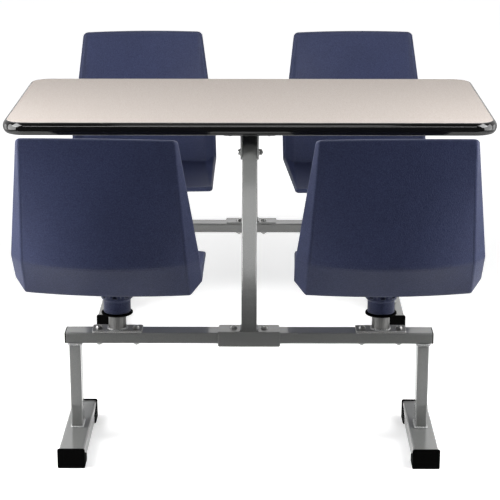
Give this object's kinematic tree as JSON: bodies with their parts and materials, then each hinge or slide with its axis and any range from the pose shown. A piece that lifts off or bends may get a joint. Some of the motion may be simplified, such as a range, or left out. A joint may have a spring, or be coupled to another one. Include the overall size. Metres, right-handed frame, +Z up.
{
  "type": "table with attached swivel seats",
  "caption": "Rectangular laminate table on a welded steel frame that carries a moulded swivel bucket seat on a short pedestal at each corner.",
  "frame": {"origin": "on the floor under the middle of the table", "axes": "+X along the table's long side, +Y across the table from one pair of seats to the other, +Z up"},
  "size_m": [1.2192, 1.529, 0.8148],
  "materials": {
    "laminate": "pinkish beige high-pressure laminate with a fine speckle, satin",
    "core_board": "raw particle board",
    "backer_sheet": "plain brown backer sheet, matt",
    "edge_band": "black crowned edge moulding with a tongue in the core, gloss",
    "frame_paint": "silver grey powder coat, semi-gloss",
    "pedestal_steel": "galvanised column welded to a plate, dull",
    "black_plastic": "black moulded plastic, fine texture",
    "seat_blue": "navy moulded plastic with a pebble grain, semi-matt",
    "hub_blue": "navy moulded plastic, semi-matt",
    "black_paint": "black powder coat",
    "turned_steel": "turned and ground",
    "bush_bronze": "sintered bronze, oiled",
    "zinc_steel": "zinc plated"
  },
  "bodies": {
    "frame": {"table_laminate": "laminate", "table_core": "core_board", "table_backer": "backer_sheet", "table_edge": "edge_band", "beam_front": "frame_paint", "beam_rear": "frame_paint", "post_front": "frame_paint", "post_rear": "frame_paint", "top_bracket_front": "frame_paint", "top_bracket_rear": "frame_paint", "saddle_front": "frame_paint", "saddle_rear": "frame_paint", "beam_plugs": "black_plastic", "bracket_screws": "zinc_steel", "post_bolts": "zinc_steel", "saddle_bolts": "zinc_steel", "pedestal_bolts": "zinc_steel", "spindles": "turned_steel", "retainers": "zinc_steel", "bearing_rings": "black_plastic", "leg_fl": "frame_paint", "foot_fl": "frame_paint", "foot_caps_fl": "black_plastic", "pedestal_fl": "pedestal_steel", "leg_fr": "frame_paint", "foot_fr": "frame_paint", "foot_caps_fr": "black_plastic", "pedestal_fr": "pedestal_steel", "leg_rl": "frame_paint", "foot_rl": "frame_paint", "foot_caps_rl": "black_plastic", "pedestal_rl": "pedestal_steel", "leg_rr": "frame_paint", "foot_rr": "frame_paint", "foot_caps_rr": "black_plastic", "pedestal_rr": "pedestal_steel"},
    "seat_fl": {"seat_shell_fl": "seat_blue", "seat_plate_fl": "black_paint", "hub_fl": "hub_blue", "hub_bushes_fl": "bush_bronze", "seat_bolts_fl": "zinc_steel"},
    "seat_fr": {"seat_shell_fr": "seat_blue", "seat_plate_fr": "black_paint", "hub_fr": "hub_blue", "hub_bushes_fr": "bush_bronze", "seat_bolts_fr": "zinc_steel"},
    "seat_rl": {"seat_shell_rl": "seat_blue", "seat_plate_rl": "black_paint", "hub_rl": "hub_blue", "hub_bushes_rl": "bush_bronze", "seat_bolts_rl": "zinc_steel"},
    "seat_rr": {"seat_shell_rr": "seat_blue", "seat_plate_rr": "black_paint", "hub_rr": "hub_blue", "hub_bushes_rr": "bush_bronze", "seat_bolts_rr": "zinc_steel"}
  },
  "joints": [
    {"name": "swivel_fl", "type": "hinge", "parent": "frame", "child": "seat_fl", "pos_m": [-0.3155, -0.495, 0.36], "axis": [0, 0, 1], "range_deg": [-76.5, 83.5]},
    {"name": "swivel_fr", "type": "hinge", "parent": "frame", "child": "seat_fr", "pos_m": [0.3155, -0.495, 0.36], "axis": [0, 0, 1], "range_deg": [-82.3, 77.7]},
    {"name": "swivel_rl", "type": "hinge", "parent": "frame", "child": "seat_rl", "pos_m": [-0.3155, 0.495, 0.36], "axis": [0, 0, 1], "range_deg": [-83, 77]},
    {"name": "swivel_rr", "type": "hinge", "parent": "frame", "child": "seat_rr", "pos_m": [0.3155, 0.495, 0.36], "axis": [0, 0, 1], "range_deg": [-82.3, 77.7]}
  ]
}
